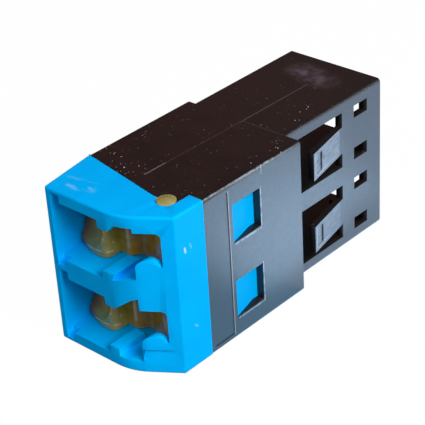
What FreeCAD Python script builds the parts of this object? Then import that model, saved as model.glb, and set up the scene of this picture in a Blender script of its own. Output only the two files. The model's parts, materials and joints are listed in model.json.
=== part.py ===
"""Shuttered duplex fibre adapter: black snap-in housing, blue shuttered nose, two split sleeves.

Every piece is drawn with x from the plane of the two port axes, towards the latch side,
y from the flat front of the nose, towards the rear, and z from the plane between the ports,
or from the axis of its own port. Placements then stand the adapter on its bottom face, with the
origin under the middle of its length and width.
"""
import FreeCAD, Part
import math
import os
import Sketcher

Vector = FreeCAD.Vector

SIZES = {
    # Overall form, with the panel shoulder between the front block and the narrower rear.
    "port_pitch": 6.25,
    "outer_wall": 0.935,
    "left_wall": 1.225,
    "latch_wall": 0.75,
    "nose_depth": 5.05,
    "block_depth": 10.35,
    "rear_depth": 11.45,
    "rear_inset_left": 0.66,
    "rear_inset_right": 1.37,
    "side_wall": 0.65,
    "cover_wall": 0.5,
    "edge_round": 0.3,
    "fit_gap": 0.03,
    # Plan of the nose: tapered on the left, rounded off and sloped on the latch side.
    "nose_taper": 0.72,
    "nose_flat_end": 2.82,
    "nose_arc": 4.5,
    "nose_slope": 34,
    "nose_edge": 0.2,
    "tail_depth": 8.25,
    # Ports: a square for the plug, two latch rails, a latch recess and the passage to the hinge.
    "plug_width": 4.55,
    "plug_height": 4.68,
    "rail_height": 0.6,
    "rail_width": 0.92,
    "rail_depth": 2.6,
    "rail_slant": 0.55,
    "rail_overhang": 0.28,
    "recess_edge": 5.02,
    "mid_wall_foot": 0.14,
    "mid_wall_rise": 0.62,
    "mid_ramp": 1.25,
    "mid_ramp_rise": 0.36,
    "passage_edge": 6.62,
    "passage_top": 1.99,
    "passage_round": 0.42,
    "passage_sill": 0.66,
    "passage_depth": 2.4,
    "sill_end": 6.45,
    "sill_arc": 0.76,
    "hinge_side": 6.7,
    "hinge_room": 1.95,
    "key_left": 2.23,
    "key_right": 1.38,
    "key_half_height": 2.95,
    "key_depth": 0.6,
    "tail_inner_side": 6.2,
    # Scooped ramp below the lower port's passage.
    "scoop_left": 5.05,
    "scoop_margin": 0.2,
    "scoop_right_top": 6.25,
    "scoop_low": 0.9,
    "scoop_high": 2.0,
    "scoop_depth": 0.2,
    "head_inner_end": 4.95,
    # Cover tongue of the housing, which laps over the nose as far as the hinge.
    "tongue_knee_x": 4.42,
    "tongue_knee_y": 3.55,
    "tongue_side": 6.2,
    "tongue_corner_y": 3.77,
    # Hinge of the shutters.
    "pin_x": 5.45,
    "pin_y": 3.6,
    "journal_radius": 0.7,
    "pivot_radius": 0.5,
    "pivot_length": 0.6,
    "running_gap": 0.05,
    "journal_proud": 0.05,
    "journal_shy": 0.05,
    "barrel_radius": 0.9,
    # Shutter flap, a waved plate with a dished boss in front of the fibre.
    "flap_gap": 0.14,
    "flap_thickness": 0.5,
    "flap_end": 2.05,
    "flap_face": 3.15,
    "flap_bend": 1.25,
    "ridge_x": 1.72,
    "ridge_y": 3.05,
    "ridge_end_x": 2.05,
    "ridge_end_y": 3.2,
    "valley_x": 2.58,
    "valley_y": 3.8,
    "valley_end": 3.0,
    "shank_x": 4.5,
    "shank_y": 3.0,
    "shield_bend_x": 5.2,
    "shield_bend_y": 2.5,
    "shield_x": 6.35,
    "shield_y": 1.98,
    "bend_round": 0.22,
    "boss_front": 1.75,
    "boss_crest": 0.3,
    "boss_right": 1.0,
    "boss_shoulder": 0.55,
    "boss_left_depth": 0.53,
    "dish_radius": 2.14,
    "dish_centre_x": 1.15,
    "dish_centre_y": 0.76,
    # Torsion spring on the lower half of each hinge.
    "spring_top": -0.85,
    "spring_radius": 0.7,
    "wire_radius": 0.09,
    "spring_turns": 3,
    "spring_steps": 8,
    "spring_leg": 2.1,
    # Snap windows of the block and the barbs of the nose in them.
    "snap_window_start": 7.9,
    "snap_window_end": 10.85,
    "snap_window_height": 3.1,
    "barb_length": 2.55,
    "barb_shy": 0.05,
    # Bare strip on the latch side of the block.
    "strip_start": 5.43,
    "strip_end": 7.5,
    "strip_margin": 0.5,
    "strip_sink": 0.05,
    # Sleeves, and the tubes that hold them from both sides of the web.
    "mating_y": 14.4,
    "sleeve_length": 6.8,
    "sleeve_outer": 0.81,
    "sleeve_inner": 0.623,
    "sleeve_slit": 0.25,
    "tube_outer": 1.25,
    "tube_nose": 1.05,
    "tube_taper_length": 0.4,
    "tube_lip": 0.2,
    "tube_mouth": 0.7,
    "web_thickness": 1.1,
    "plate_thickness": 1.0,
    # Rear ports.
    "catch_depth": 1.7,
    "rear_recess_edge": 5.3,
    # Panel latches: openings in the latch side, each with a sprung arm.
    "latch_window_start": 16.2,
    "latch_window_end": 22.05,
    "latch_window_height": 4.65,
    "arm_half_width": 1.13,
    "arm_tip_y": 17.45,
    "arm_rise": 0.95,
    "arm_thickness": 0.55,
    "arm_pocket_border": 0.32,
    "arm_pocket_depth": 0.12,
    "arm_pocket_end": 21.2,
    # Small windows beside the latch catches.
    "small_window_start": 23.5,
    "small_window_height": 1.02,
    "small_window_offset": 1.8,
}

LEFT = "(-Sizes.plug_width / 2 - Sizes.left_wall)"
RIGHT = "(Sizes.hinge_side + Sizes.latch_wall)"
BLOCK_FRONT = "Sizes.nose_depth"
SHOULDER = "(Sizes.nose_depth + Sizes.block_depth)"
REAR = "(Sizes.nose_depth + Sizes.block_depth + Sizes.rear_depth)"
REAR_LEFT = f"({LEFT} + Sizes.rear_inset_left)"
REAR_RIGHT = f"({RIGHT} - Sizes.rear_inset_right)"
TOP = "((Sizes.port_pitch + Sizes.plug_height) / 2 + Sizes.outer_wall)"
COVER = f"({TOP} - Sizes.cover_wall)"
PORT = "(Sizes.port_pitch / 2)"
PLUG_SIDE = "(Sizes.plug_width / 2)"
PLUG_TOP = "(Sizes.plug_height / 2)"
RAIL_TOP = f"({PLUG_TOP} - Sizes.rail_height)"
RAIL_SIDE = f"({PLUG_SIDE} + Sizes.rail_width)"
TAIL_END = "(Sizes.nose_depth + Sizes.tail_depth)"
PLATE_END = f"({TAIL_END} + Sizes.plate_thickness)"
WEB_END = f"({PLATE_END} + Sizes.web_thickness)"
CATCH = f"({REAR} - Sizes.catch_depth)"
FLAP_TOP = f"({PLUG_TOP} - Sizes.flap_gap)"
ROOM_RIGHT = "(Sizes.pin_y - sqrt(Sizes.hinge_room ^ 2 - (Sizes.hinge_side - Sizes.pin_x) ^ 2))"
SLEEVE_FRONT = "(Sizes.mating_y - Sizes.sleeve_length / 2 - Sizes.running_gap)"
SLEEVE_REAR = "(Sizes.mating_y + Sizes.sleeve_length / 2 + Sizes.running_gap)"
SLEEVE_POCKET = "(Sizes.sleeve_outer + Sizes.running_gap)"

doc = FreeCAD.newDocument("fibre_adapter")
sheet = doc.addObject("Spreadsheet::Sheet", "Sizes")
for row, (alias, size) in enumerate(SIZES.items(), start=1):
    sheet.set(f"A{row}", alias)
    sheet.set(f"B{row}", str(size))
    sheet.setAlias(f"B{row}", alias)
doc.recompute()


def value(expression):
    """The number that an expression of the sheet's sizes gives now."""
    return float(sheet.evalExpression(expression))


def new_body(label, height="0"):
    """A body drawn about the port axes' plane, with its z = 0 at a height above the mid-plane."""
    body = doc.addObject("PartDesign::Body", label)
    body.Label = label
    body.setExpression("Placement.Base.x", f"-({LEFT} + {RIGHT}) / 2")
    body.setExpression("Placement.Base.y", f"-{REAR} / 2")
    body.setExpression("Placement.Base.z", f"{TOP} + {height}")
    return body


def new_sketch(body, name, plane, start):
    """A sketch on one of the body's own origin planes, moved along that plane's positive axis."""
    sketch = body.newObject("Sketcher::SketchObject", name)
    support = [f for f in body.Origin.OriginFeatures if f.Role == f"{plane}_Plane"][0]
    sketch.AttachmentSupport = (support, [""])
    sketch.MapMode = "FlatFace"
    sign = "-" if plane == "XZ" else ""
    sketch.setExpression("AttachmentOffset.Base.z", f"{sign}({start})")
    return sketch


def bind(sketch, kind, geometry, point, expression):
    """Hold a point of the sketch at a distance from its origin that an expression gives."""
    index = sketch.addConstraint(Sketcher.Constraint(kind, -1, 1, geometry, point, value(expression)))
    sketch.setExpression(f"Constraints[{index}]", expression)


def outline(body, name, plane, start, corners, arcs=None):
    """A closed outline through corners given as pairs of expressions.

    arcs gives, for the side that leaves a corner, its radius and +1 if it bulges to the right
    of the way along the outline, -1 if to the left."""
    arcs = arcs or {}
    sketch = new_sketch(body, name, plane, start)
    points = [Vector(value(across), value(along), 0) for across, along in corners]
    following = {index: (index + 1) % len(points) for index in range(len(points))}
    for index, first in enumerate(points):
        last = points[following[index]]
        if index not in arcs:
            sketch.addGeometry(Part.LineSegment(first, last), False)
            continue
        radius, side = value(arcs[index][0]), arcs[index][1]
        chord = last - first
        inward = Vector(-chord.y, chord.x, 0).normalize() * side
        centre = (first + last) / 2 + inward * math.sqrt(radius**2 - (chord.Length / 2) ** 2)
        turns = [math.atan2(end.y - centre.y, end.x - centre.x) for end in (first, last)[::side]]
        stop = turns[1] if turns[1] > turns[0] else turns[1] + math.tau
        full = Part.Circle(centre, Vector(0, 0, 1), radius)
        sketch.addGeometry(Part.ArcOfCircle(full, turns[0], stop), False)
    # An arc is stored anticlockwise, so one that bulges to the left starts at its second corner.
    starts = {index: 2 if index in arcs and arcs[index][1] < 0 else 1 for index in following}
    for index, after in following.items():
        sketch.addConstraint(Sketcher.Constraint(
            "Coincident", index, 3 - starts[index], after, starts[after]))
    for index, (across, along) in enumerate(corners):
        bind(sketch, "DistanceX", index, starts[index], across)
        bind(sketch, "DistanceY", index, starts[index], along)
    for index, (radius, _) in arcs.items():
        held = sketch.addConstraint(Sketcher.Constraint("Radius", index, value(radius)))
        sketch.setExpression(f"Constraints[{held}]", radius)
    return sketch


def rectangle(body, name, plane, start, low, high):
    """A rectangle between two opposite corners."""
    corners = [(low[0], low[1]), (high[0], low[1]), (high[0], high[1]), (low[0], high[1])]
    return outline(body, name, plane, start, corners)


def circle(body, name, plane, start, centre, radius):
    """A circle about a centre."""
    sketch = new_sketch(body, name, plane, start)
    at = Vector(value(centre[0]), value(centre[1]), 0)
    sketch.addGeometry(Part.Circle(at, Vector(0, 0, 1), value(radius)), False)
    bind(sketch, "DistanceX", 0, 3, centre[0])
    bind(sketch, "DistanceY", 0, 3, centre[1])
    held = sketch.addConstraint(Sketcher.Constraint("Radius", 0, value(radius)))
    sketch.setExpression(f"Constraints[{held}]", radius)
    return sketch


def extrude(body, kind, sketch, length):
    """Pad or pocket a sketch along its plane's positive axis, and see that it changed the body."""
    before = body.Shape.Volume if body.Tip else 0
    feature = body.newObject(f"PartDesign::{kind}", f"{sketch.Name}_{kind.lower()}")
    feature.Profile = sketch
    feature.setExpression("Length", length)
    facing = -1 if sketch.AttachmentSupport[0][0].Role == "XZ_Plane" else 1
    feature.Reversed = facing == (-1 if kind == "Pad" else 1)
    sketch.Visibility = False
    doc.recompute()
    grew = feature.Shape.Volume - before
    if feature.Shape.isNull() or (grew > 0) != (kind == "Pad") or abs(grew) < 1e-6:
        raise RuntimeError(f"{feature.Name} changed the volume by {grew}")
    return feature


def pad(body, sketch, length):
    return extrude(body, "Pad", sketch, length)


def pocket(body, sketch, length):
    return extrude(body, "Pocket", sketch, length)


def repeat(body, name, features, length, count=2):
    """Repeat features upwards along z."""
    pattern = body.newObject("PartDesign::LinearPattern", name)
    pattern.Originals = features
    pattern.Direction = ([f for f in body.Origin.OriginFeatures if f.Role == "Z_Axis"][0], [""])
    pattern.setExpression("Length", length)
    pattern.Occurrences = count
    body.Tip = pattern
    doc.recompute()
    return pattern


def round_edges(body, name, radius, wanted):
    """Round the edges of the body that a test on the edge's middle and direction picks."""
    base = body.Tip
    names = []
    for index, edge in enumerate(base.Shape.Edges, start=1):
        low, high = edge.ParameterRange
        middle = edge.valueAt((low + high) / 2)
        if wanted(edge, middle, edge.tangentAt((low + high) / 2)):
            names.append(f"Edge{index}")
    feature = body.newObject("PartDesign::Fillet", name)
    feature.Base = (base, names)
    feature.setExpression("Radius", radius)
    doc.recompute()
    return feature


def near(first, second):
    return abs(first - second) < 1e-4


def along_y(edge, direction):
    return edge.Curve.TypeId == "Part::GeomLine" and abs(direction.y) > 0.999


def along_z(edge, direction):
    return edge.Curve.TypeId == "Part::GeomLine" and abs(direction.z) > 0.999


def port_outline(recess):
    """Half of a plain port's outline above its axis, from the plug's left side to the latch side."""
    return [
        (f"-{PLUG_SIDE}", PLUG_TOP),
        (PLUG_SIDE, PLUG_TOP),
        (PLUG_SIDE, RAIL_TOP),
        (recess, RAIL_TOP),
    ]


def both_halves(half, centre):
    """A closed outline: the given half about a centre height, and its mirror image below."""
    upper = [(across, f"{centre} + {along}") for across, along in half]
    lower = [(across, f"{centre} - {along}") for across, along in reversed(half)]
    return upper + lower


def flare_mouths(body, name, start, turn):
    """Both tubes' flared mouths, which widen from a plane along y; their axis is z turned about x."""
    for level, height in (("lower", f"-{PORT}"), ("upper", PORT)):
        cone = body.newObject("PartDesign::SubtractiveCone", f"{name}_{level}")
        cone.setExpression("Radius1", "Sizes.tube_mouth")
        cone.setExpression("Radius2", "Sizes.tube_mouth + Sizes.tube_lip")
        cone.setExpression("Height", "Sizes.tube_lip")
        cone.setExpression("Placement.Base.y", start)
        cone.setExpression("Placement.Base.z", height)
        cone.Placement.Rotation = FreeCAD.Rotation(Vector(1, 0, 0), turn)
    doc.recompute()


def make_housing():
    """Black housing: block round the nose's tail, web with sleeve tubes, rear ports, panel latches."""
    body = new_body("housing")
    pad(body, rectangle(body, "block", "XZ", BLOCK_FRONT, (LEFT, f"-{TOP}"), (RIGHT, TOP)),
        "Sizes.block_depth")
    pad(body, rectangle(body, "rear", "XZ", SHOULDER, (REAR_LEFT, f"-{TOP}"), (REAR_RIGHT, TOP)),
        "Sizes.rear_depth")
    corners = {(value(side), value(TOP) * up) for side in (LEFT, RIGHT, REAR_LEFT, REAR_RIGHT)
               for up in (1, -1)}
    round_edges(body, "long_edges", "Sizes.edge_round", lambda edge, middle, direction:
                along_y(edge, direction)
                and any(near(middle.x, x) and near(middle.z, z) for x, z in corners))
    tongue = [
        (LEFT, BLOCK_FRONT),
        ("Sizes.tongue_knee_x", "Sizes.tongue_knee_y"),
        ("Sizes.tongue_side", "Sizes.tongue_corner_y"),
        ("Sizes.tongue_side", BLOCK_FRONT),
    ]
    lower = pad(body, outline(body, "tongue", "XY", f"-{TOP}", tongue), "Sizes.cover_wall")
    repeat(body, "tongues", [lower], f"2 * {TOP} - Sizes.cover_wall")
    pocket(body, circle(body, "journal_notch", "XY", f"-{TOP}", ("Sizes.pin_x", "Sizes.pin_y"),
                        "Sizes.journal_radius + Sizes.running_gap"), f"2 * {TOP}")
    pocket(body, rectangle(body, "nose_socket", "XZ", BLOCK_FRONT,
                           (f"{LEFT} + Sizes.side_wall", f"-{COVER}"),
                           (f"{RIGHT} - Sizes.side_wall", COVER)),
           f"{PLATE_END} - {BLOCK_FRONT}")

    opening = pocket(body, outline(body, "rear_port", "XZ", CATCH,
                                   both_halves(port_outline("Sizes.rear_recess_edge"), f"-{PORT}")),
                     "Sizes.catch_depth")
    chamber = pocket(body, rectangle(body, "rear_chamber", "XZ", WEB_END,
                                     (f"-{PLUG_SIDE}", f"-{PORT} - {PLUG_TOP}"),
                                     (f"{REAR_RIGHT} - Sizes.side_wall", f"-{PORT} + {PLUG_TOP}")),
                     f"{CATCH} - {WEB_END}")
    repeat(body, "rear_ports", [opening, chamber], "Sizes.port_pitch")

    tube_end = f"({SLEEVE_REAR} + Sizes.tube_lip)"
    tube = pad(body, circle(body, "rear_tube", "XZ", WEB_END, ("0", f"-{PORT}"), "Sizes.tube_outer"),
               f"{tube_end} - {WEB_END}")
    repeat(body, "rear_tubes", [tube], "Sizes.port_pitch")
    seat = pocket(body, circle(body, "sleeve_seat", "XZ", PLATE_END, ("0", f"-{PORT}"), SLEEVE_POCKET),
                  f"{SLEEVE_REAR} - {PLATE_END}")
    repeat(body, "sleeve_seats", [seat], "Sizes.port_pitch")
    flare_mouths(body, "tube_mouth", SLEEVE_REAR, -90)

    inner_side = f"({REAR_RIGHT} - Sizes.side_wall)"
    latch_half = "(Sizes.latch_window_height / 2)"
    window = pocket(body, rectangle(body, "latch_window", "YZ", inner_side,
                                    ("Sizes.latch_window_start", f"-{PORT} - {latch_half}"),
                                    ("Sizes.latch_window_end", f"-{PORT} + {latch_half}")),
                    "Sizes.side_wall")
    repeat(body, "latch_windows", [window], "Sizes.port_pitch")
    arm = [
        (f"{REAR_RIGHT} - Sizes.arm_thickness", "Sizes.latch_window_end"),
        (f"{REAR_RIGHT} + Sizes.arm_rise - Sizes.arm_thickness", "Sizes.arm_tip_y"),
        (f"{REAR_RIGHT} + Sizes.arm_rise", "Sizes.arm_tip_y"),
        (REAR_RIGHT, "Sizes.latch_window_end"),
    ]
    arm_low = f"-{PORT} - Sizes.arm_half_width"
    spring = pad(body, outline(body, "panel_arm", "XY", arm_low, arm), "2 * Sizes.arm_half_width")
    dish = [
        (f"{REAR_RIGHT} + Sizes.arm_rise - Sizes.arm_pocket_depth",
         "Sizes.arm_tip_y + Sizes.arm_pocket_border"),
        (f"{REAR_RIGHT} + Sizes.arm_rise", "Sizes.arm_tip_y + Sizes.arm_pocket_border"),
        (REAR_RIGHT, "Sizes.arm_pocket_end"),
    ]
    hollow = pocket(body, outline(body, "arm_hollow", "XY", f"{arm_low} + Sizes.arm_pocket_border", dish),
                    "2 * (Sizes.arm_half_width - Sizes.arm_pocket_border)")
    repeat(body, "panel_arms", [spring, hollow], "Sizes.port_pitch")

    window_half = "(Sizes.small_window_height / 2)"
    small = [pocket(body, rectangle(body, f"catch_window_{side}", "YZ", inner_side,
                                    ("Sizes.small_window_start", f"-{PORT} {sign} Sizes.small_window_offset"
                                     f" - {window_half}"),
                                    (CATCH, f"-{PORT} {sign} Sizes.small_window_offset + {window_half}")),
                    "Sizes.side_wall")
             for side, sign in (("low", "-"), ("high", "+"))]
    repeat(body, "catch_windows", small, "Sizes.port_pitch")

    snap_half = "(Sizes.snap_window_height / 2)"
    snap = pocket(body, rectangle(body, "snap_window", "YZ", f"{RIGHT} - Sizes.side_wall",
                                  ("Sizes.snap_window_start", f"-{PORT} - {snap_half}"),
                                  ("Sizes.snap_window_end", f"-{PORT} + {snap_half}")),
                  "Sizes.side_wall")
    repeat(body, "snap_windows", [snap], "Sizes.port_pitch")
    pocket(body, rectangle(body, "bare_strip", "YZ", f"{RIGHT} - Sizes.strip_sink",
                           ("Sizes.strip_start", f"-{TOP} + Sizes.strip_margin"),
                           ("Sizes.strip_end", f"{TOP} - Sizes.strip_margin")), "Sizes.strip_sink")
    return body


def make_nose():
    """Blue nose: face with both ports, latch rails, shutter chambers, hinge seats and snap barbs."""
    body = new_body("nose")
    arc_x = "(Sizes.nose_flat_end + Sizes.nose_arc * sin(Sizes.nose_slope))"
    arc_y = "(Sizes.nose_arc * (1 - cos(Sizes.nose_slope)))"
    plan = [
        (f"{LEFT} + Sizes.nose_taper", "0"),
        ("Sizes.nose_flat_end", "0"),
        (arc_x, arc_y),
        (RIGHT, f"{arc_y} + ({RIGHT} - {arc_x}) * tan(Sizes.nose_slope)"),
        (RIGHT, BLOCK_FRONT),
        (LEFT, BLOCK_FRONT),
    ]
    pad(body, outline(body, "head", "XY", f"-{TOP}", plan, {1: ("Sizes.nose_arc", 1)}), f"2 * {TOP}")
    round_edges(body, "head_edges", "Sizes.nose_edge", lambda edge, middle, direction:
                near(abs(middle.z), value(TOP)) and middle.y < value(BLOCK_FRONT) - 0.01
                or along_z(edge, direction) and middle.y < value(BLOCK_FRONT) - 0.01
                and not near(middle.x, value("Sizes.nose_flat_end")) and not near(middle.x, value(arc_x)))
    tongue = [
        (f"{LEFT}", f"{BLOCK_FRONT} - Sizes.fit_gap"),
        ("Sizes.tongue_knee_x", "Sizes.tongue_knee_y - Sizes.fit_gap"),
        ("Sizes.tongue_side + Sizes.fit_gap", "Sizes.tongue_corner_y - Sizes.fit_gap"),
        ("Sizes.tongue_side + Sizes.fit_gap", BLOCK_FRONT),
        (f"{LEFT}", BLOCK_FRONT),
    ]
    depth = "Sizes.cover_wall + Sizes.fit_gap"
    lower = pocket(body, outline(body, "tongue_seat", "XY", f"-{TOP}", tongue), depth)
    repeat(body, "tongue_seats", [lower], f"2 * {TOP} - ({depth})")
    tail_low = (f"{LEFT} + Sizes.side_wall + Sizes.fit_gap", f"-{COVER} + Sizes.fit_gap")
    tail_high = (f"{RIGHT} - Sizes.side_wall - Sizes.fit_gap", f"{COVER} - Sizes.fit_gap")
    pad(body, rectangle(body, "tail", "XZ", BLOCK_FRONT, tail_low, tail_high), "Sizes.tail_depth")

    upper_face = [
        (f"-{PLUG_SIDE}", PLUG_TOP),
        (PLUG_SIDE, PLUG_TOP),
        (PLUG_SIDE, RAIL_TOP),
        (RAIL_SIDE, RAIL_TOP),
        (f"{RAIL_SIDE} + Sizes.rail_slant", PLUG_TOP),
        ("Sizes.recess_edge", PLUG_TOP),
        ("Sizes.recess_edge", f"Sizes.mid_wall_rise - {PLUG_TOP}"),
        (RAIL_SIDE, f"Sizes.mid_wall_foot - {PLUG_TOP}"),
        (f"{RAIL_SIDE} + Sizes.rail_overhang", f"Sizes.mid_wall_foot - {RAIL_TOP}"),
        (PLUG_SIDE, f"-{RAIL_TOP}"),
        (PLUG_SIDE, f"-{PLUG_TOP}"),
        (f"-{PLUG_SIDE}", f"-{PLUG_TOP}"),
    ]
    lower_face = [
        (f"-{PLUG_SIDE}", PLUG_TOP),
        (PLUG_SIDE, PLUG_TOP),
        (PLUG_SIDE, RAIL_TOP),
        (RAIL_SIDE, RAIL_TOP),
        (f"{RAIL_SIDE} + Sizes.mid_ramp", f"{PLUG_TOP} + Sizes.mid_ramp_rise"),
        ("Sizes.recess_edge", f"{PLUG_TOP} + Sizes.mid_wall_rise"),
        ("Sizes.recess_edge", f"-{PLUG_TOP}"),
        (RAIL_SIDE, f"-{PLUG_TOP}"),
        (RAIL_SIDE, f"-{RAIL_TOP}"),
        (PLUG_SIDE, f"-{RAIL_TOP}"),
        (PLUG_SIDE, f"-{PLUG_TOP}"),
        (f"-{PLUG_SIDE}", f"-{PLUG_TOP}"),
    ]
    for name, centre, face in (("upper_face", PORT, upper_face), ("lower_face", f"-{PORT}", lower_face)):
        corners = [(across, f"{centre} + {along}") for across, along in face]
        pocket(body, outline(body, name, "XZ", "0", corners), "Sizes.rail_depth")
    key = pocket(body, rectangle(body, "key_slot", "XZ", "0",
                                 ("-Sizes.key_left", f"-{PORT} - Sizes.key_half_height"),
                                 ("-Sizes.key_right", f"-{PORT} + Sizes.key_half_height")),
                 "Sizes.key_depth")
    passage = [
        ("Sizes.recess_edge", f"-{PORT} - Sizes.passage_sill"),
        ("Sizes.sill_end", f"-{PORT} - Sizes.passage_sill"),
        ("Sizes.passage_edge", f"-{PORT} - Sizes.passage_sill"),
        ("Sizes.passage_edge", f"-{PORT} + Sizes.passage_top - Sizes.passage_round"),
        ("Sizes.passage_edge - Sizes.passage_round", f"-{PORT} + Sizes.passage_top"),
        ("Sizes.recess_edge", f"-{PORT} + Sizes.passage_top"),
    ]
    way = pocket(body, outline(body, "hinge_passage", "XZ", "0", passage,
                               {0: ("Sizes.sill_arc", -1), 3: ("Sizes.passage_round", 1)}),
                 "Sizes.passage_depth")
    # The front of the hinge's chamber is an arc about the hinge, close round the sweep of the shield.
    room_left = "(Sizes.pin_x - sqrt(Sizes.hinge_room ^ 2 - (Sizes.pin_y - Sizes.rail_depth) ^ 2))"
    chamber_plan = [
        (room_left, "Sizes.rail_depth"),
        ("Sizes.hinge_side", ROOM_RIGHT),
        ("Sizes.hinge_side", "Sizes.head_inner_end"),
        ("Sizes.tail_inner_side", "Sizes.head_inner_end"),
        ("Sizes.tail_inner_side", TAIL_END),
        (f"-{PLUG_SIDE}", TAIL_END),
        (f"-{PLUG_SIDE}", "Sizes.rail_depth"),
    ]
    chamber = pocket(body, outline(body, "shutter_chamber", "XY", f"-{PORT} - {PLUG_TOP}", chamber_plan,
                                   {0: ("Sizes.hinge_room", 1)}), "Sizes.plug_height")
    repeat(body, "ports", [key, way, chamber], "Sizes.port_pitch")

    pin = ("Sizes.pin_x", "Sizes.pin_y")
    journal = "Sizes.journal_radius + Sizes.running_gap"
    wall = f"{TOP} - {PORT} - {PLUG_TOP}"
    lower = pocket(body, circle(body, "journal_seat", "XY", f"-{TOP}", pin, journal), wall)
    repeat(body, "journal_seats", [lower], f"2 * {TOP} - ({wall})")
    pivot = "Sizes.pivot_radius + Sizes.running_gap"
    deep = "Sizes.pivot_length + Sizes.running_gap"
    middle_wall = f"({PORT} - {PLUG_TOP})"
    lower = pocket(body, circle(body, "pivot_seat", "XY", f"-{middle_wall}", pin, pivot), deep)
    repeat(body, "pivot_seats", [lower], f"2 * {middle_wall} - ({deep})")

    tail_side = f"({RIGHT} - Sizes.side_wall - Sizes.fit_gap)"
    barb_front = "(Sizes.snap_window_start + Sizes.fit_gap)"
    barb = [
        (tail_side, barb_front),
        (f"{RIGHT} - Sizes.barb_shy", barb_front),
        (tail_side, f"{barb_front} + Sizes.barb_length"),
    ]
    barb_height = "(Sizes.snap_window_height - 2 * Sizes.fit_gap)"
    wedge = pad(body, outline(body, "snap_barb", "XY", f"-{PORT} - {barb_height} / 2", barb), barb_height)
    repeat(body, "snap_barbs", [wedge], "Sizes.port_pitch")

    # The scoop's own axes lie along the sloped front: x along it, y into it.
    scoop = body.newObject("PartDesign::SubtractiveWedge", "scoop")
    along = "({0} - " + arc_x + ") / cos(Sizes.nose_slope)"
    scoop_sizes = {
        "Xmin": along.format("Sizes.scoop_left"),
        "Xmax": along.format(f"({RIGHT} - Sizes.scoop_margin)"),
        "Ymin": "-Sizes.scoop_depth / 10",
        "Ymax": "Sizes.scoop_depth",
        "Zmin": "Sizes.scoop_low",
        "Zmax": "Sizes.scoop_high",
        "X2min": along.format("Sizes.scoop_left"),
        "X2max": along.format("Sizes.scoop_right_top"),
        "Z2min": "Sizes.scoop_high - Sizes.running_gap",
        "Z2max": "Sizes.scoop_high",
        "Placement.Base.x": arc_x,
        "Placement.Base.y": arc_y,
        "Placement.Base.z": f"-{TOP}",
    }
    for name, expression in scoop_sizes.items():
        scoop.setExpression(name, expression)
    scoop.Placement.Rotation = FreeCAD.Rotation(Vector(0, 0, 1), value("Sizes.nose_slope"))
    doc.recompute()
    return body


def make_sleeve_holder():
    """Black plate with the two front sleeve tubes, clamped between the nose's tail and the web."""
    body = new_body("sleeve_holder")
    low = (f"{LEFT} + Sizes.side_wall + Sizes.fit_gap", f"-{COVER} + Sizes.fit_gap")
    high = (f"{RIGHT} - Sizes.side_wall - Sizes.fit_gap", f"{COVER} - Sizes.fit_gap")
    pad(body, rectangle(body, "plate", "XZ", TAIL_END, low, high), "Sizes.plate_thickness")
    tip = f"({SLEEVE_FRONT} - Sizes.tube_lip)"
    tube = pad(body, circle(body, "front_tube", "XZ", f"{tip} + Sizes.tube_taper_length", ("0", f"-{PORT}"),
                            "Sizes.tube_outer"), f"{TAIL_END} - {tip} - Sizes.tube_taper_length")
    end = pad(body, circle(body, "tube_nose", "XZ", tip, ("0", f"-{PORT}"), "Sizes.tube_nose"),
              "Sizes.tube_taper_length")
    repeat(body, "front_tubes", [tube, end], "Sizes.port_pitch")
    seat = pocket(body, circle(body, "sleeve_seat_front", "XZ", SLEEVE_FRONT, ("0", f"-{PORT}"),
                               SLEEVE_POCKET), f"{PLATE_END} - {SLEEVE_FRONT}")
    repeat(body, "front_seats", [seat], "Sizes.port_pitch")
    flare_mouths(body, "front_mouth", SLEEVE_FRONT, 90)
    return body


def make_sleeve(label, height):
    """Zirconia split sleeve: a thin ground tube slit along its whole length."""
    body = new_body(label, height)
    front = "Sizes.mating_y - Sizes.sleeve_length / 2"
    pad(body, circle(body, f"{label}_wall", "XZ", front, ("0", "0"), "Sizes.sleeve_outer"),
        "Sizes.sleeve_length")
    pocket(body, circle(body, f"{label}_bore", "XZ", front, ("0", "0"), "Sizes.sleeve_inner"),
           "Sizes.sleeve_length")
    pocket(body, rectangle(body, f"{label}_slit", "XZ", front, ("-Sizes.sleeve_slit / 2", "0"),
                           ("Sizes.sleeve_slit / 2", "2 * Sizes.sleeve_outer")), "Sizes.sleeve_length")
    return body


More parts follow.
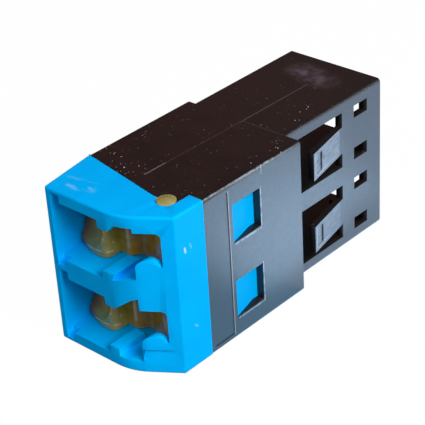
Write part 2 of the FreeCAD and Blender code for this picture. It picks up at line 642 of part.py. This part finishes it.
def make_shutter(label, height, outer):
    """Amber shutter: waved flap, dished boss and hinge barrel, moulded with its journals.

    outer is +1 if the adapter's outside lies above the port, -1 if below."""
    body = new_body(label, height)
    pin = ("Sizes.pin_x", "Sizes.pin_y")
    tall = f"2 * {FLAP_TOP}"
    thick = "Sizes.flap_thickness"
    front = [
        ("Sizes.shield_x", "Sizes.shield_y"),
        ("Sizes.shield_bend_x", "Sizes.shield_bend_y"),
        ("Sizes.shank_x", "Sizes.shank_y"),
        ("Sizes.valley_end", "Sizes.valley_y"),
        ("Sizes.valley_x", "Sizes.valley_y"),
        ("Sizes.ridge_end_x", "Sizes.ridge_end_y"),
        ("Sizes.ridge_x", "Sizes.ridge_y"),
        ("Sizes.flap_bend", "Sizes.flap_face"),
        ("-Sizes.flap_end", "Sizes.flap_face"),
    ]
    back = [(across, f"{along} + {thick}") for across, along in reversed(front)]
    pad(body, outline(body, f"{label}_flap", "XY", f"-{FLAP_TOP}", front + back), tall)
    bends = {(value(x), value(y)) for x, y in front[1:-1] + back[1:-1]}
    round_edges(body, f"{label}_bends", "Sizes.bend_round", lambda edge, middle, direction:
                along_z(edge, direction)
                and any(near(middle.x, x) and near(middle.y, y) for x, y in bends))
    boss = [
        ("-Sizes.flap_end", f"Sizes.flap_face + {thick} / 2"),
        ("-Sizes.flap_end", "Sizes.boss_front + Sizes.boss_left_depth"),
        ("-Sizes.boss_crest", "Sizes.boss_front"),
        ("Sizes.boss_right - Sizes.boss_shoulder", "Sizes.boss_front"),
        ("Sizes.boss_right", "Sizes.boss_front + Sizes.boss_shoulder"),
        ("Sizes.boss_right", f"Sizes.flap_face + {thick} / 2"),
    ]
    pad(body, outline(body, f"{label}_boss", "XY", f"-{FLAP_TOP}", boss,
                      {3: ("Sizes.boss_shoulder", 1)}), tall)
    # The boss's trough: round at the right, and open at the left end of the flap.
    pocket(body, circle(body, f"{label}_trough", "YZ", "-Sizes.flap_end - Sizes.dish_radius",
                        ("Sizes.dish_centre_y", "0"), "Sizes.dish_radius"),
           "Sizes.flap_end + Sizes.dish_radius - Sizes.dish_centre_x")
    dish = body.newObject("PartDesign::SubtractiveSphere", f"{label}_dish")
    dish.setExpression("Radius", "Sizes.dish_radius")
    dish.setExpression("Placement.Base.x", "-Sizes.dish_centre_x")
    dish.setExpression("Placement.Base.y", "Sizes.dish_centre_y")
    pad(body, circle(body, f"{label}_barrel", "XY", f"-{FLAP_TOP}", pin, "Sizes.barrel_radius"), tall)
    pocket(body, circle(body, f"{label}_spring_room", "XY", f"-{FLAP_TOP}", pin,
                        "Sizes.spring_radius + Sizes.wire_radius + 3 * Sizes.running_gap"),
           f"{FLAP_TOP} + Sizes.spring_top")
    pad(body, circle(body, f"{label}_axle", "XY", f"-{FLAP_TOP}", pin, "Sizes.pivot_radius"),
        f"{FLAP_TOP} + Sizes.spring_top")

    wall = f"({TOP} - {PORT})"
    proud = "Sizes.journal_proud" if outer > 0 else "(-Sizes.journal_shy)"
    journal = f"{wall} - {FLAP_TOP} + {proud}"
    pivot = "Sizes.pivot_length + Sizes.flap_gap"
    journal_start = FLAP_TOP if outer > 0 else f"-{wall} - {proud}"
    pivot_start = f"-{FLAP_TOP} - ({pivot})" if outer > 0 else FLAP_TOP
    pad(body, circle(body, f"{label}_journal", "XY", journal_start, pin, "Sizes.journal_radius"), journal)
    pad(body, circle(body, f"{label}_pivot", "XY", pivot_start, pin, "Sizes.pivot_radius"), pivot)
    return body


def make_spring(label, height):
    """Steel torsion spring: turns round the axle, one leg on the flap's back, and one along the
    side of the hinge chamber to the wall in front."""
    feature = doc.addObject("Part::Feature", label)
    feature.Label = label
    wire, radius = value("Sizes.wire_radius"), value("Sizes.spring_radius")
    base = 2 * wire - value(FLAP_TOP)
    rise = value(f"{FLAP_TOP} + Sizes.spring_top") - 4 * wire
    axis = Vector(value("Sizes.pin_x"), value("Sizes.pin_y"), base)
    # The wire is drawn as straight lengths with mitred joints, which keeps its mesh light.
    steps = round(value("Sizes.spring_turns * Sizes.spring_steps"))
    turn_step = math.tau / value("Sizes.spring_steps")
    path = [axis + Vector(-radius * math.sin(step * turn_step), radius * math.cos(step * turn_step),
                          rise * step / steps) for step in range(steps + 1)]
    side = value("Sizes.hinge_side - Sizes.running_gap") - wire
    wall = value(f"{ROOM_RIGHT} + 2 * Sizes.running_gap")
    path = [Vector(side, wall, base), Vector(side, path[0].y, base)] + path
    path.append(path[-1] - Vector(value("Sizes.spring_leg"), 0, 0))
    pipe = Part.BRepOffsetAPI.MakePipeShell(Part.Wire(Part.makePolygon(path)))
    pipe.setTransitionMode(1)
    pipe.add(Part.Wire(Part.makeCircle(wire, path[0], path[1] - path[0])))
    pipe.build()
    pipe.makeSolid()
    feature.Shape = pipe.shape()
    feature.Placement = FreeCAD.Placement(
        Vector(value(f"-({LEFT} + {RIGHT}) / 2"), value(f"-{REAR} / 2"),
               value(f"{TOP} + {height}")), FreeCAD.Rotation())
    return feature


nodes = [
    make_housing(),
    make_nose(),
    make_sleeve_holder(),
    make_sleeve("sleeve_lower", f"-{PORT}"),
    make_sleeve("sleeve_upper", PORT),
    make_shutter("shutter_lower", f"-{PORT}", -1),
    make_shutter("shutter_upper", PORT, 1),
    make_spring("spring_lower", f"-{PORT}"),
    make_spring("spring_upper", PORT),
]
doc.recompute()
for item in doc.Objects:
    if "Invalid" in item.State or "Error" in item.State:
        raise RuntimeError(f"{item.Name} failed: {item.State}")
for node in nodes:
    if node.Shape.isNull() or not node.Shape.isValid():
        raise RuntimeError(f"{node.Label} has no valid shape")
    print(node.Label, round(node.Shape.Volume, 3), len(node.Shape.Solids), node.Shape.BoundBox)

os.makedirs("parts", exist_ok=True)
for node in nodes:
    node.Shape.exportStep(f"parts/{node.Label}.step")
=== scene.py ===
import json
import math

import bpy
from mathutils import Matrix, Vector


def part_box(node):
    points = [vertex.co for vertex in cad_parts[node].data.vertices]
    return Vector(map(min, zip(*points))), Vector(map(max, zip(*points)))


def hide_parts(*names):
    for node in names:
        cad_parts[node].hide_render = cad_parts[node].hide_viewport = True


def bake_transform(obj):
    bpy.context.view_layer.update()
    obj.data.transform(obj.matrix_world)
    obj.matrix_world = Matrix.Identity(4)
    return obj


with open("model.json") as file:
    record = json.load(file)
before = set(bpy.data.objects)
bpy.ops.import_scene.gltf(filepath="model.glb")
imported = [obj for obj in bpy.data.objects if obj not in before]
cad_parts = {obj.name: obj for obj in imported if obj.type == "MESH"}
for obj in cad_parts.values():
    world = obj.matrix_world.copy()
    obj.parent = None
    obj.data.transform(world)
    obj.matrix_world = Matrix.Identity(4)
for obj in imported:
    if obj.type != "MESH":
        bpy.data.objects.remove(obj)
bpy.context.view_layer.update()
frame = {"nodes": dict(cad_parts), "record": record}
scene = bpy.context.scene


# Housing: one black moulding of glass-filled PBT, with the panel-latch arms bent in it. The nose and the
# sleeve holder are pushed in from the front, and two windows in its latch side catch the nose's barbs.
# Here and below, a place on a piece is in millimetres.
MM = 0.001
TOP = 12.8
SIDE = 5.46
PORT_AXES = (3.275, 9.525)
X, Y, Z = 0, 1, 2


def srgb(hex_colour):
    """The linear colour of an sRGB hex value such as "1A6B2F"."""
    shares = [int(hex_colour[i:i + 2], 16) / 255 for i in (0, 2, 4)]
    return [s / 12.92 if s <= 0.04045 else ((s + 0.055) / 1.055) ** 2.4 for s in shares] + [1.0]


def feed(tree, node, inputs):
    """Gives a node's inputs their values, or links to other nodes' outputs."""
    for name, value in inputs.items():
        if isinstance(value, bpy.types.NodeSocket):
            tree.links.new(value, node.inputs[name])
        else:
            node.inputs[name].default_value = value


def add(tree, kind, inputs, output=0, **settings):
    """Adds a node with its settings, and values or links at its inputs. The result is one of its outputs."""
    node = tree.nodes.new("ShaderNode" + kind)
    for name, value in settings.items():
        setattr(node, name, value)
    feed(tree, node, inputs)
    return node.outputs[output]


def new_material(name):
    """A material with the default shader: the material, its tree and its shader."""
    material = bpy.data.materials.new(name)
    material.use_nodes = True
    return material, material.node_tree, material.node_tree.nodes["Principled BSDF"]


def millimetres(tree):
    """The piece's own coordinates in millimetres."""
    place = add(tree, "TexCoord", {}, "Object")
    return add(tree, "VectorMath", {0: place, "Scale": 1 / MM}, operation="SCALE")


def cloud(tree, place, grain, detail=3.0, stretch=(1, 1, 1)):
    """A cloudy pattern with features of a size in millimetres, drawn out by a factor along each axis."""
    drawn = add(tree, "VectorMath", {0: place, 1: stretch}, operation="DIVIDE")
    return add(tree, "TexNoise", {"Vector": drawn, "Scale": 1 / grain, "Detail": detail})


def patches(tree, place, grain, detail, levels, shares=(0.0, 1.0), stretch=(1, 1, 1)):
    """Soft-edged patches: a cloud that goes from one share to another between two of its levels."""
    return add(tree, "MapRange", {"Value": cloud(tree, place, grain, detail, stretch),
                                  "From Min": levels[0], "From Max": levels[1],
                                  "To Min": shares[0], "To Max": shares[1]}, interpolation_type="SMOOTHSTEP")


def slope(tree, vector, axis, ends, shares=(0.0, 1.0)):
    """A smooth change from one share to another, between two ends along one axis of a place or a normal."""
    return add(tree, "MapRange", {"Value": add(tree, "SeparateXYZ", {0: vector}, axis),
                                  "From Min": ends[0], "From Max": ends[1],
                                  "To Min": shares[0], "To Max": shares[1]}, interpolation_type="SMOOTHSTEP")


def lines(tree, place, marks):
    """Straight marks, each a start, an end, a width, a soft border and a strength. The strongest shows."""
    shown = 0.0
    for start, end, width, soft, strength in marks:
        way = Vector(end) - Vector(start)
        offset = add(tree, "VectorMath", {0: place, 1: start}, operation="SUBTRACT")
        along = add(tree, "VectorMath", {0: offset, 1: way / way.length_squared}, "Value",
                    operation="DOT_PRODUCT")
        held = add(tree, "Clamp", {"Value": along})
        foot = add(tree, "VectorMath", {0: way, "Scale": held}, operation="SCALE")
        away = add(tree, "VectorMath", {0: offset, 1: foot}, "Value", operation="DISTANCE")
        mark = add(tree, "MapRange", {"Value": away, "From Min": width / 2, "From Max": width / 2 + soft,
                                      "To Min": strength, "To Max": 0.0}, interpolation_type="SMOOTHSTEP")
        shown = add(tree, "Math", {0: shown, 1: mark}, operation="MAXIMUM")
    return shown


def specks(tree, place, spacing, size, kept):
    """Small round specks: their spacing and largest radius in millimetres, and the share that is kept."""
    cells = {"Vector": place, "Scale": 1 / spacing}
    draw = add(tree, "TexVoronoi", cells, "Color")
    chosen = add(tree, "MapRange", {"Value": add(tree, "SeparateColor", {"Color": draw}, 0),
                                    "From Min": 1 - kept - 0.01, "From Max": 1 - kept + 0.01},
                 interpolation_type="SMOOTHSTEP")
    reach = add(tree, "Math", {0: add(tree, "SeparateColor", {"Color": draw}, 1), 1: size / spacing},
                operation="MULTIPLY")
    within = add(tree, "Math", {0: add(tree, "TexVoronoi", cells, "Distance"), 1: reach},
                 operation="LESS_THAN")
    return add(tree, "Math", {0: within, 1: chosen}, operation="MULTIPLY")


def coats(tree, ground, layers):
    """Lays coats over a ground colour. A coat is its colour, its greatest share, and masks that thin it."""
    colour = srgb(ground)
    for hex_colour, share, *masks in layers:
        for mask in masks:
            share = add(tree, "Math", {0: share, 1: mask}, operation="MULTIPLY")
        colour = add(tree, "Mix", {0: share, 6: colour, 7: srgb(hex_colour)}, 2, data_type="RGBA")
    return colour


def dress(node_name, material, edge):
    """Gives a CAD node its material, and rounds its moulded edges by a small radius in millimetres."""
    piece = frame["nodes"][node_name]
    piece.data.materials.clear()
    piece.data.materials.append(material)
    weld = piece.modifiers.new("weld", "WELD")
    weld.merge_threshold = 0.0005 * MM
    rounding = piece.modifiers.new("moulded edges", "BEVEL")
    rounding.limit_method = "ANGLE"
    rounding.angle_limit = math.radians(35)
    rounding.width = edge * MM
    rounding.segments = 2
    rounding.use_clamp_overlap = True
    shading = piece.modifiers.new("shading", "WEIGHTED_NORMAL")
    shading.weight = 100


black, tree, shader = new_material("satin moulded black PBT")
# Satin moulded PBT: a near-black brown with a broad soft sheen, fine pores from the tool's spark finish,
# pale dust that lies in them, most of it near the front, and a few hairline scratches. The pores of a spark
# finish are finer than a pixel, so they are drawn 0.1 mm wide.
place = millimetres(tree)
normal = add(tree, "TexCoord", {}, "Normal")

# Dust lies on faces that look up: fine dust in drifts, and a few larger grains. It is drawn coarser than
# real dust, which is too fine to show.
drifts = add(tree, "Math", {0: patches(tree, place, 1.6, 2.0, (0.42, 0.7)),
                            1: slope(tree, place, Y, (-9.0, 9.0), (0.5, 0.25))}, operation="MULTIPLY")
corners = lines(tree, place, [((4.9, -2.2, TOP), (5.2, 0.4, TOP), 0.2, 1.0, 1.0),
                              ((-4.6, -7.4, TOP), (-1.6, -8.4, TOP), 0.2, 1.0, 1.0),
                              ((4.6, 2.7, TOP), (2.4, 6.2, TOP), 0.2, 1.0, 1.0)])
spread = add(tree, "Math", {0: drifts, 1: corners}, operation="MAXIMUM")
fine = add(tree, "Math", {0: specks(tree, place, 0.25, 0.062, 0.6), 1: spread}, operation="MULTIPLY")
coarse = add(tree, "Math", {0: specks(tree, place, 1.5, 0.09, 0.22),
                            1: patches(tree, place, 3.0, 1.0, (0.4, 0.6))}, operation="MULTIPLY")
dust = add(tree, "Math", {0: fine, 1: coarse}, operation="MAXIMUM")
lying = slope(tree, normal, Z, (0.6, 0.9))

# One scratch runs along the middle of the top and fades towards the rear, and a faint line shows where the
# block's step starts.
scratches = lines(tree, place, [((-0.16, -8.1, TOP), (-0.14, -6.1, TOP), 0.04, 0.06, 1.0),
                                ((-0.14, -6.1, TOP), (0.1, 1.6, TOP), 0.02, 0.06, 0.2),
                                ((0.1, 1.9, TOP), (4.2, 1.98, TOP), 0.02, 0.06, 0.2),
                                ((0.1, 1.6, TOP), (0.2, 9.3, TOP), 0.04, 0.08, 0.32)])
smudge = lines(tree, place, [((-1.7, 11.0, TOP), (0.8, 10.6, TOP), 0.3, 1.6, 1.0)])
smudge_patches = patches(tree, place, 0.9, 5.0, (0.35, 0.75), (0.15, 1.0))

# Painted highlights: the long top edge and the windows' edges are painted pale as highlights, and pale
# highlights are painted on the steps of the strip and of the arms' pockets, where their bevels fall into
# shade. A nick by the top edge is worn pale.
HIGHLIGHTED_EDGES = (((SIDE, -8.3, 12.84), (SIDE, -2.0, 12.84)),
              ((SIDE, -5.33, 7.82), (SIDE, -2.52, 7.82)), ((SIDE, -5.33, 1.57), (SIDE, -2.52, 1.57)),
              ((SIDE, -2.52, 7.82), (SIDE, -2.52, 11.1)), ((SIDE, -2.52, 1.57), (SIDE, -2.52, 4.9)))
nick_and_edge_highlights = lines(tree, place, [((SIDE, -2.36, 12.6), (SIDE, -2.36, 12.1), 0.03, 0.05, 1.0),
                           *((start, end, 0.03, 0.07, 1.0) for start, end in HIGHLIGHTED_EDGES)])
nick_and_edge_highlights = add(tree, "Math", {0: nick_and_edge_highlights, 1: patches(tree, place, 0.5, 4.0, (0.35, 0.65), (0.15, 0.6))},
           operation="MULTIPLY")
top_edge_highlight = lines(tree, place, [((SIDE, -8.3, 12.79), (SIDE, -1.0, 12.79), 0.15, 0.06, 1.0)])
top_edge_highlight = add(tree, "Math", {0: top_edge_highlight, 1: patches(tree, place, 0.4, 4.0, (0.35, 0.6), (0.15, 0.9))},
               operation="MULTIPLY")
edges = add(tree, "Math", {0: nick_and_edge_highlights, 1: top_edge_highlight}, operation="MAXIMUM")
# Painted highlights on the steps of the strip and of the arms' pockets, over bevels that fall into shade.
step_highlight_marks = [((5.45, -5.88, 0.5), (5.45, -5.88, 12.3), 0.05, 0.05, 0.7)]
for axis in PORT_AXES:
    step_highlight_marks += [((4.98, 4.345, axis - 0.8), (4.98, 4.345, axis + 0.8), 0.14, 0.04, 1.0),
                   ((4.98, 4.36, axis - 0.81), (4.2, 7.5, axis - 0.81), 0.14, 0.04, 0.6)]
painted_step_highlights = lines(tree, place, step_highlight_marks)

# The arms' faces that look to the latch side are made a pale blue-grey, the upper one more, in streaky
# patches, with a darker streak across the upper one.
arms = lines(tree, place, [((4.85, 4.4, 9.6), (4.35, 7.3, 9.6), 2.4, 0.5, 1.0),
                           ((4.85, 4.4, 3.3), (4.35, 7.3, 3.3), 2.4, 0.5, 0.45)])
arm_pale_patches = patches(tree, place, 0.22, 4.0, (0.35, 0.65), (0.18, 0.36), (1, 5, 1))
arm_dark_streak = add(tree, "Math", {0: lines(tree, place, [((4.9, 4.75, 9.4), (4.75, 5.4, 9.7), 0.4, 0.4, 1.0)]),
                            1: patches(tree, place, 0.16, 3.0, (0.45, 0.55), (0.3, 1.0), (1, 5, 1))},
             operation="MULTIPLY")
beside_arm_dark_streak = add(tree, "MapRange", {"Value": arm_dark_streak, "To Min": 1.0, "To Max": 0.25},
                interpolation_type="SMOOTHSTEP")

# Painted shade: the walls inside are painted near black, darker than the outside, as the shade in the
# recesses, so no dust or pale patches show there.
painted_inside_shade = [slope(tree, place, X, (3.6, 3.9), (1.0, 0.0)), slope(tree, place, X, (-4.9, -4.7)),
          slope(tree, place, Z, (12.2, 12.5), (1.0, 0.0)), slope(tree, place, Z, (0.3, 0.6))]

colour = coats(tree, "0C0A0B", [
    ("1A100F", 1.0, patches(tree, place, 2.2, 4.0, (0.35, 0.7))),
    ("201716", 1.0, slope(tree, place, Y, (-6.0, 9.0))),
    ("D8D2D6", 0.75, dust, lying),
    ("B8A8A8", 0.35, scratches),
    ("C4A8BC", 0.2, smudge, smudge_patches),
    # Painted highlights along the top edge and the windows' edges, with the pale worn nick.
    ("C8D4E0", 1.0, edges),
    # Painted highlights on the steps.
    ("C8D4E0", 0.5, painted_step_highlights),
    ("A8B4C0", 1.0, arms, slope(tree, place, X, (4.16, 4.24)), slope(tree, normal, X, (0.8, 0.9)),
     arm_pale_patches, beside_arm_dark_streak),
    # Painted shade on the walls inside.
    ("050505", 1.0, *painted_inside_shade)])
pores = add(tree, "Bump", {"Strength": 0.25, "Distance": 0.01 * MM, "Height": cloud(tree, place, 0.1)})
polish = patches(tree, place, 0.3, 4.0, (0.3, 0.7), (0.38, 0.44))
feed(tree, shader, {"Base Color": colour, "Roughness": polish, "IOR": 1.55, "Normal": pores})
dress("housing", black, 0.05)


# Split sleeves: ground zirconia tubes, slit along one side, that line up two ferrules end to end. They lie
# loose in the tubes of the housing's web and of the sleeve holder.
ceramic, tree, shader = new_material("ground zirconia")
# Ground zirconia: a warm white with a wet gloss, and rings round the tube from the grinding wheel, drawn
# 0.08 mm wide to show.
place = millimetres(tree)
rings = cloud(tree, place, 0.08, 2.0, (40, 1, 40))
relief = add(tree, "Bump", {"Strength": 0.1, "Distance": 0.004 * MM, "Height": rings})
feed(tree, shader, {"Base Color": coats(tree, "F4F1E6", [("E6E2D6", 1.0, rings)]), "Roughness": 0.18,
                    "IOR": 2.1, "Normal": relief})
for name in ("sleeve_lower", "sleeve_upper"):
    dress(name, ceramic, 0.02)


# Sleeve holder: a plate of the housing's black PBT with the two front sleeve tubes. It is pushed in over the
# sleeves and clamped between the housing's web and the nose.
dress("sleeve_holder", black, 0.04)


# Shutters: amber polyetherimide, moulded in one with their journals. They turn in the nose and in the
# housing's tongues, and a spring keeps them shut.
amber, tree, shader = new_material("amber polyetherimide")
# Amber polyetherimide, glossy and a little clear: olive in the thick boss and golden brown in the thin waved
# flap, with flow streaks along the flap. The left end keeps a maroon ground, which is painted shade where
# the port's ceiling shades the flap; the journal's top end is painted paler as light in the amber; a green
# tint in the dish is a painted reflection of the blue nose; and pale lines along the boss's rim and the
# flap's ridge are painted glints.
place = millimetres(tree)
# Points along each boss's lower rim, where pale glints are painted.
RIM = ((-3.3, -11.35, -2.0), (-2.4, -11.6, -1.85), (-1.65, -11.68, -1.78), (-1.08, -11.44, -1.75),
       (-0.97, -11.05, -1.8))
glint_marks, green_reflection_marks = [], []
for axis in PORT_AXES:
    rim = [(x, y, z + axis) for x, y, z in RIM]
    glint_marks += [(start, end, 0.03, 0.08, 1.0) for start, end in zip(rim, rim[1:])]
    glint_marks += [((-1.3, -11.6, axis - 0.72), (-0.97, -10.9, axis - 1.15), 0.04, 0.1, 0.6),
                   ((-0.1, -10.32, axis - 1.5), (-0.1, -10.32, axis + 0.8), 0.06, 0.16, 0.5)]
    green_reflection_marks += [((-3.0, -11.4, axis - 1.7), (-1.7, -11.68, axis - 1.4), 0.2, 0.5, 1.0)]
# The maroon ground is painted shade, kept at the left end.
colour = coats(tree, "5A3018", [
    ("9A903E", 1.0, slope(tree, place, X, (-4.2, -2.2))),
    ("BA8A30", 1.0, slope(tree, place, X, (-1.6, 0.6))),
    # Painted light: the journal's top end is paler.
    ("B4A864", 1.0, slope(tree, place, Z, (12.3, 12.7))),
    ("5E4A14", 1.0, patches(tree, place, 0.6, 3.0, (0.35, 0.75), (0.0, 0.4), (3, 1, 1))),
    # Painted reflection: a green tint from the blue nose in the dish.
    ("3E7A3A", 0.35, lines(tree, place, green_reflection_marks)),
    # Painted highlights: pale glints along the boss's rim and a pale line on the flap's ridge.
    ("DAD8C4", 0.62, lines(tree, place, glint_marks))])
streaks = add(tree, "Bump", {"Strength": 0.15, "Distance": 0.02 * MM,
                             "Height": cloud(tree, place, 0.6, 3.0, (3, 1, 1))})
feed(tree, shader, {"Base Color": colour, "Roughness": 0.12, "IOR": 1.66, "Subsurface Weight": 0.2,
                    "Subsurface Radius": (1.0 * MM, 0.8 * MM, 0.2 * MM), "Normal": streaks})
for name in ("shutter_lower", "shutter_upper"):
    dress(name, amber, 0.06)


# Shutter springs: round drawn steel wire, wound three times round each shutter's lower axle. One leg stays
# in the nose beside the axle, and the other lies on the flap's back and turns with it.
WIRE = 0.09 * MM
COIL = 0.7 * MM
LEG = 2.1 * MM
BEND = 0.22 * MM
TURNS = 3
STEPS = 28
steel, tree, shader = new_material("drawn spring steel")
# Drawn spring steel: bright grey with soft streaks from the drawing die, drawn 0.1 mm wide to show.
place = millimetres(tree)
feed(tree, shader, {
    "Base Color": coats(tree, "9A9A9E", [("C6C6CA", 1.0, cloud(tree, place, 0.1, 2.0, (6, 6, 1)))]),
    "Roughness": patches(tree, place, 0.1, 2.0, (0.3, 0.7), (0.22, 0.38), (6, 6, 1)), "Metallic": 1.0})


def bent(before, corner, after):
    """The points of a bend in the wire at a corner of its course."""
    first = corner + (before - corner).normalized() * BEND
    last = corner + (after - corner).normalized() * BEND
    return [first.lerp(corner, s / 5).lerp(corner.lerp(last, s / 5), s / 5) for s in range(6)]


def wind(name, joint):
    """Winds the spring that stands for a CAD spring round the shutter's axle, and hides the CAD spring."""
    low, high = (Vector(corner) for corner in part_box(name))
    hinges = {hinge["name"]: hinge for hinge in frame["record"]["behaviour"]["joints"]}
    pin = Vector(hinges[joint]["pos_m"])
    base, top = low.z + WIRE, high.z - WIRE
    coil = []
    for step in range(STEPS * TURNS + 1):
        angle = math.tau * step / STEPS
        rise = (top - base) * step / (STEPS * TURNS)
        coil.append(Vector((pin.x - COIL * math.sin(angle), pin.y + COIL * math.cos(angle), base + rise)))
    foot = Vector((high.x - WIRE, low.y, base))
    knee = Vector((high.x - WIRE, coil[0].y, base))
    path = [foot] + bent(foot, knee, coil[0]) + coil + [coil[-1] - Vector((LEG, 0, 0))]
    line = bpy.data.curves.new(name + "_wire", "CURVE")
    line.dimensions = "3D"
    line.bevel_depth = WIRE
    line.bevel_resolution = 3
    line.use_fill_caps = True
    spline = line.splines.new("POLY")
    spline.points.add(len(path) - 1)
    for point, spot in zip(spline.points, path):
        point.co = (*spot, 1.0)
    wound = bpy.data.objects.new(name + "_line", line)
    spring = bpy.data.objects.new(name + "_wire", bpy.data.meshes.new_from_object(wound))
    bpy.data.objects.remove(wound)
    scene.collection.objects.link(spring)
    spring.data.shade_smooth()
    spring.data.materials.clear()
    spring.data.materials.append(steel)
    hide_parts(name)
    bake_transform(spring)


wind("spring_lower", "lower_shutter_hinge")
wind("spring_upper", "upper_shutter_hinge")


# Nose: the blue PBT moulding that shows as the front. It is keyed into the housing's tongues and held by
# its two barbs, and its ports carry the rails that a plug's latch catches on.
blue, tree, shader = new_material("moulded blue PBT")
# Blue moulded PBT: one saturated sky blue, faint flow clouds, a chalky white scuff on the top where it
# rubbed against a panel, and nicks by the side edge. Its IOR is far below PBT's 1.6, because the real
# surface shows hardly any gloss and a stronger one would grey the blue.
place = millimetres(tree)
scuff = lines(tree, place, [((-4.1, -12.1, TOP), (-1.9, -11.8, TOP), 0.1, 0.9, 1.0)])
nicks = lines(tree, place, [((5.48, -10.42, 10.02), (5.48, -10.38, 9.72), 0.07, 0.1, 0.6),
                            ((5.48, -9.9, 10.15), (5.48, -9.8, 9.8), 0.02, 0.1, 0.15),
                            ((5.48, -9.9, 3.5), (5.48, -9.7, 3.3), 0.03, 0.12, 0.15)])
colour = coats(tree, "00AEF8", [
    ("00B4FC", 1.0, patches(tree, place, 1.8, 3.0, (0.3, 0.7), stretch=(1, 2.5, 1))),
    ("BFEFFF", 0.42, scuff, patches(tree, place, 0.6, 3.0, (0.5, 0.7), stretch=(2.6, 1, 1))),
    ("D8F6FF", 1.0, nicks)])
pores = add(tree, "Bump", {"Strength": 0.2, "Distance": 0.01 * MM, "Height": cloud(tree, place, 0.12)})
feed(tree, shader, {"Base Color": colour, "Roughness": 0.5, "IOR": 1.06, "Normal": pores})
dress("nose", blue, 0.07)


# Floor: a white table, two metres wide, that the adapter stands on. It glows white to the camera and in
# reflections, and its own lit surface, with the object's soft shadow, is a faint share of that.
bpy.ops.mesh.primitive_plane_add(size=2.0, location=(0, 0, 0))
floor = bpy.context.object
floor.name = "floor"
GLOW = 0.985
MIRRORED_GLOW = 0.3
paper, tree, shader = new_material("white table")
camera_ray = add(tree, "LightPath", {}, "Is Camera Ray")
feed(tree, shader, {"Base Color": coats(tree, "7C7C7C", [("FFFFFF", 1.0, camera_ray)]), "Roughness": 0.9,
                    "Specular IOR Level": 0.0})
seen = add(tree, "Math", {0: camera_ray, 1: add(tree, "LightPath", {}, "Is Transmission Ray")},
           operation="MAXIMUM")
mirrored = add(tree, "Math", {0: add(tree, "LightPath", {}, "Is Glossy Ray"), 1: MIRRORED_GLOW},
               operation="MULTIPLY")
either = add(tree, "Math", {0: seen, 1: mirrored}, operation="MAXIMUM")
share = add(tree, "Math", {0: either, 1: GLOW}, operation="MULTIPLY")
glow = add(tree, "Emission", {"Color": srgb("FFFFFF"), "Strength": 1.0})
mixed = add(tree, "MixShader", {0: share, 1: shader.outputs[0], 2: glow})
feed(tree, tree.nodes["Material Output"], {"Surface": mixed})
floor.data.materials.append(paper)


# World: the white room round the table. It is white to the camera, an even and slightly blue fill for matt
# surfaces, and nearly dark in reflections.
FILL = 0.2
MIRRORED = 0.03
world = bpy.data.worlds.new("room")
scene.world = world
world.use_nodes = True
tree = world.node_tree
camera_ray = add(tree, "LightPath", {}, "Is Camera Ray")
dim = add(tree, "MapRange", {"Value": add(tree, "LightPath", {}, "Is Glossy Ray"), "To Min": FILL,
                             "To Max": MIRRORED}, interpolation_type="SMOOTHSTEP")
feed(tree, tree.nodes["Background"], {
    "Color": coats(tree, "D4E4FF", [("FFFFFF", 1.0, camera_ray)]),
    "Strength": add(tree, "Math", {0: dim, 1: camera_ray}, operation="MAXIMUM")})


# Lights: a large soft lamp at the right and a weaker one in front. The others only show in reflections: the
# lit table, in three sheets that the latch side mirrors, a white wall behind that the edges catch, and a
# brown wall that the black top mirrors.
def lamp(name, place, aim, size, power, colour="FFFFFF"):
    """A soft rectangular lamp at a place, turned towards an aim, both in millimetres."""
    light = bpy.data.lights.new(name, "AREA")
    light.shape = "RECTANGLE"
    light.size, light.size_y = size[0] * MM, size[1] * MM
    light.energy = power
    light.color = srgb(colour)[:3]
    lamp_object = bpy.data.objects.new(name, light)
    scene.collection.objects.link(lamp_object)
    lamp_object.location = Vector(place) * MM
    lamp_object.rotation_euler = (Vector(aim) - Vector(place)).to_track_quat("-Z", "Y").to_euler()
    lamp_object.visible_camera = False
    return lamp_object


lamp("window at the right", (128, -24, 99), (0, 0, 6), (90, 90), 0.282)
lamp("window in front", (30, -118, 105), (0, 0, 6), (70, 70), 0.048)
lamp("white wall behind", (89, 74, 37), (0, 0, 6), (60, 60), 0.16, "E8F2FF").visible_diffuse = False
lamp("brown wall behind", (-95, 76, 109), (0, 0, 12), (100, 100), 0.0165, "C07A68").visible_diffuse = False
TABLE = {"near the front": ((3, 13), (-22, 2), 2.5, "6CBCF0"), "around": ((3, 46), (2, 45), 2.6, "ACD6FF"),
         "bright spot": ((8, 20), (0, 18), 4.0, "B8DEFF")}
for name, ((left, right), (near, far), glow, colour) in TABLE.items():
    size = (right - left, far - near)
    spot = ((left + right) / 2, (near + far) / 2)
    power = glow * math.pi * size[0] * size[1] * MM * MM
    sheet = lamp("lit table, " + name, (*spot, 0.05), (*spot, 10), size, power, colour)
    sheet.visible_diffuse = False


# Camera: a phone held to the front right of the adapter and above it. Its focal length, in pixels, and its
# turn and shift were solved from the block's edges and the ports, so the view lines up with the photograph.
FOCAL = 1500.00801
FRAME_SIDE = 425
SENSOR_MM = 36
TURN = (2.01856362, 0.734229130, -0.488617221)
SHIFT_MM = (0.0436098273, 10.1634879, 106.889469)
ORIGIN_MM = (5.475, -8.375, 0.0)
turn = Matrix.Rotation(Vector(TURN).length, 3, Vector(TURN).normalized())
centre = -(turn.transposed() @ Vector(SHIFT_MM)) + Vector(ORIGIN_MM)
facing = Matrix((turn[0], -turn[1], -turn[2])).transposed().to_4x4()
camera = bpy.data.objects.new("camera", bpy.data.cameras.new("camera"))
scene.collection.objects.link(camera)
scene.camera = camera
camera.data.sensor_width = SENSOR_MM
camera.data.lens = SENSOR_MM * FOCAL / FRAME_SIDE
camera.data.clip_start = 0.005
camera.data.clip_end = 10
camera.matrix_world = Matrix.Translation(centre * MM) @ facing
scene.view_settings.view_transform = "Standard"
